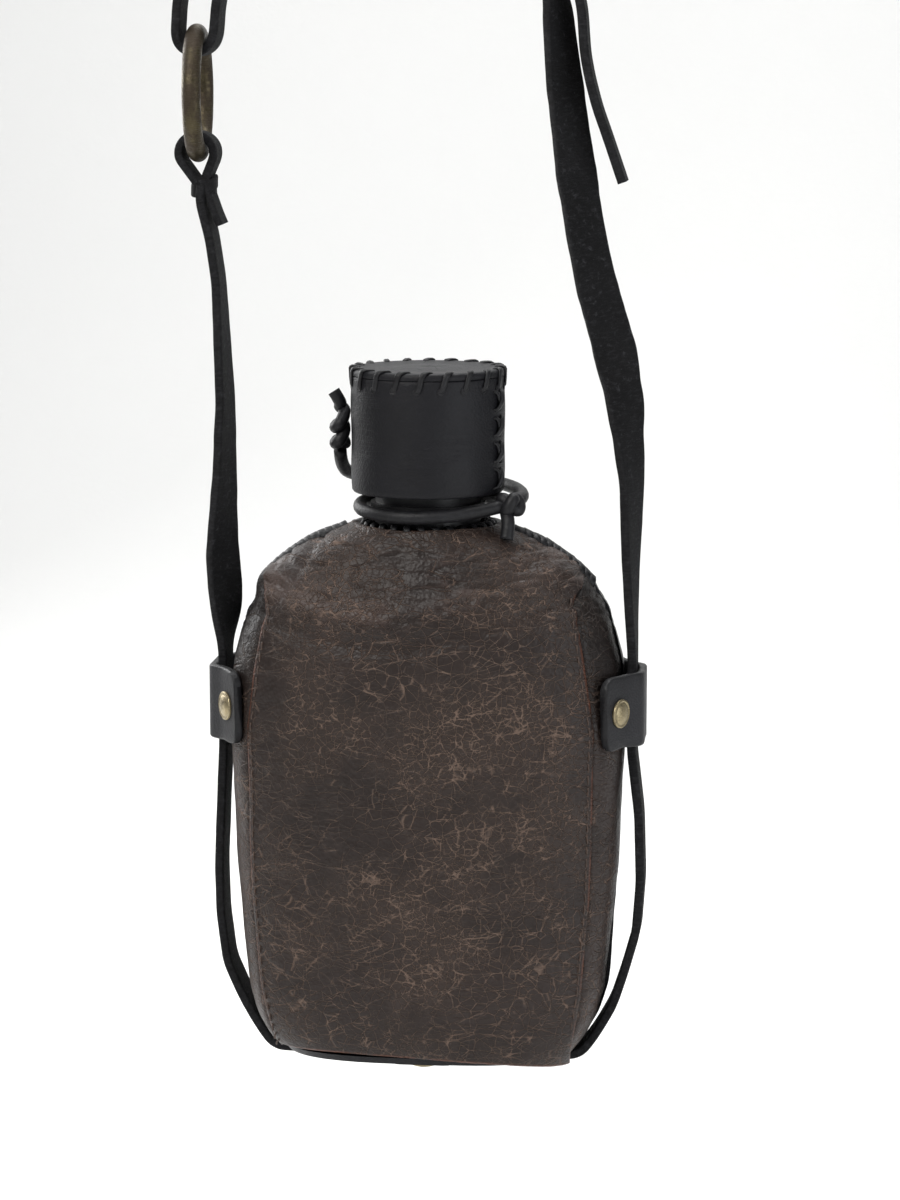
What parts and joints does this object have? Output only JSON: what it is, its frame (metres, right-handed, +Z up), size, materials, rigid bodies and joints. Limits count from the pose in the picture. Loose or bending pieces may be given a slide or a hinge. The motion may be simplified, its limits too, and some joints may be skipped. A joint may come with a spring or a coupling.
{
  "type": "canteen",
  "caption": "Flat plastic canteen in a sewn leather cover, with a laced screw cap on a neck cord, hung in a long leather strap with a brass ring.",
  "frame": {"origin": "where the strap hangs: underside of the top of its arch, above the canteen", "axes": "+Z up along the hanging strap, -Y the front of the canteen, X across its width"},
  "size_m": [0.1601, 0.0732, 0.4139],
  "materials": {
    "cover_leather": "brown pull-up leather with pale crackle lines, half matt",
    "back_leather": "smooth black leather, half matt",
    "cap_leather": "smooth black leather, soft sheen",
    "keeper_leather": "charcoal leather with burnished edges",
    "strap_suede": "rough black split leather",
    "lace": "flat black leather lace",
    "neck_cord": "round black leather cord, slight gloss",
    "bottle_plastic": "black blow-moulded plastic",
    "gasket_rubber": "dark rubber",
    "aged_brass": "antique brass, darkened and scratched"
  },
  "bodies": {
    "strap": {"strap_right_riser": "strap_suede", "strap_arch_right": "strap_suede", "strap_arch_top": "strap_suede", "strap_arch_left": "strap_suede", "strap_ring_turn": "strap_suede", "strap_over_left": "strap_suede", "strap_over_top": "strap_suede", "strap_over_right": "strap_suede", "strap_tail": "strap_suede", "strap_left_riser": "strap_suede", "strap_ring_tie": "strap_suede", "strap_tie_end": "strap_suede", "strap_tie_knot": "strap_suede"},
    "ring": {"brass_ring": "aged_brass"},
    "canteen": {"bottle": "bottle_plastic", "front_panel": "cover_leather", "back_panel": "back_leather", "left_gusset": "cover_leather", "right_gusset": "cover_leather", "base_panel": "back_leather", "neck_lacing": "lace", "left_ridge_lacing": "lace", "right_ridge_lacing": "lace", "left_keeper": "keeper_leather", "right_keeper": "keeper_leather", "base_keeper": "keeper_leather", "left_keeper_rivets": "aged_brass", "right_keeper_rivets": "aged_brass", "base_keeper_rivets": "aged_brass", "strap_under_base": "strap_suede", "strap_sling_left": "strap_suede", "strap_sling_right": "strap_suede"},
    "neck_cord": {"cap_tether": "neck_cord", "neck_cord_loop": "neck_cord", "neck_cord_end": "neck_cord", "neck_cord_knot": "neck_cord"},
    "cap": {"screw_cap": "bottle_plastic", "cap_gasket": "gasket_rubber", "cap_side_leather": "cap_leather", "cap_top_leather": "cap_leather", "cap_top_lacing": "lace", "cap_side_lacing": "lace", "cap_cord_knot": "neck_cord"}
  },
  "joints": [
    {"name": "ring_turn", "type": "hinge", "parent": "strap", "child": "ring", "pos_m": [-0.06395, 0, -0.07565], "axis": [1, 0, 0], "continuous": true},
    {"name": "canteen_tilt", "type": "hinge", "parent": "strap", "child": "canteen", "pos_m": [0.01345, 0, -0.26505], "axis": [1, 0, 0], "range_deg": [-12, 12]},
    {"name": "cap_turn", "type": "hinge", "parent": "canteen", "child": "neck_cord", "pos_m": [0.01345, 0, -0.21105], "axis": [0, 0, 1], "range_deg": [0, 720], "deforming": ["neck_cord_end"]},
    {"name": "cap_lift", "type": "slide", "parent": "neck_cord", "child": "cap", "axis": [0, 0, 1], "range_m": [0, 0.01], "deforming": ["cap_tether"]}
  ],
  "couplings": [
    {"joint": "cap_lift", "follows": "cap_turn", "m_per_rad": 0.00079577}
  ]
}
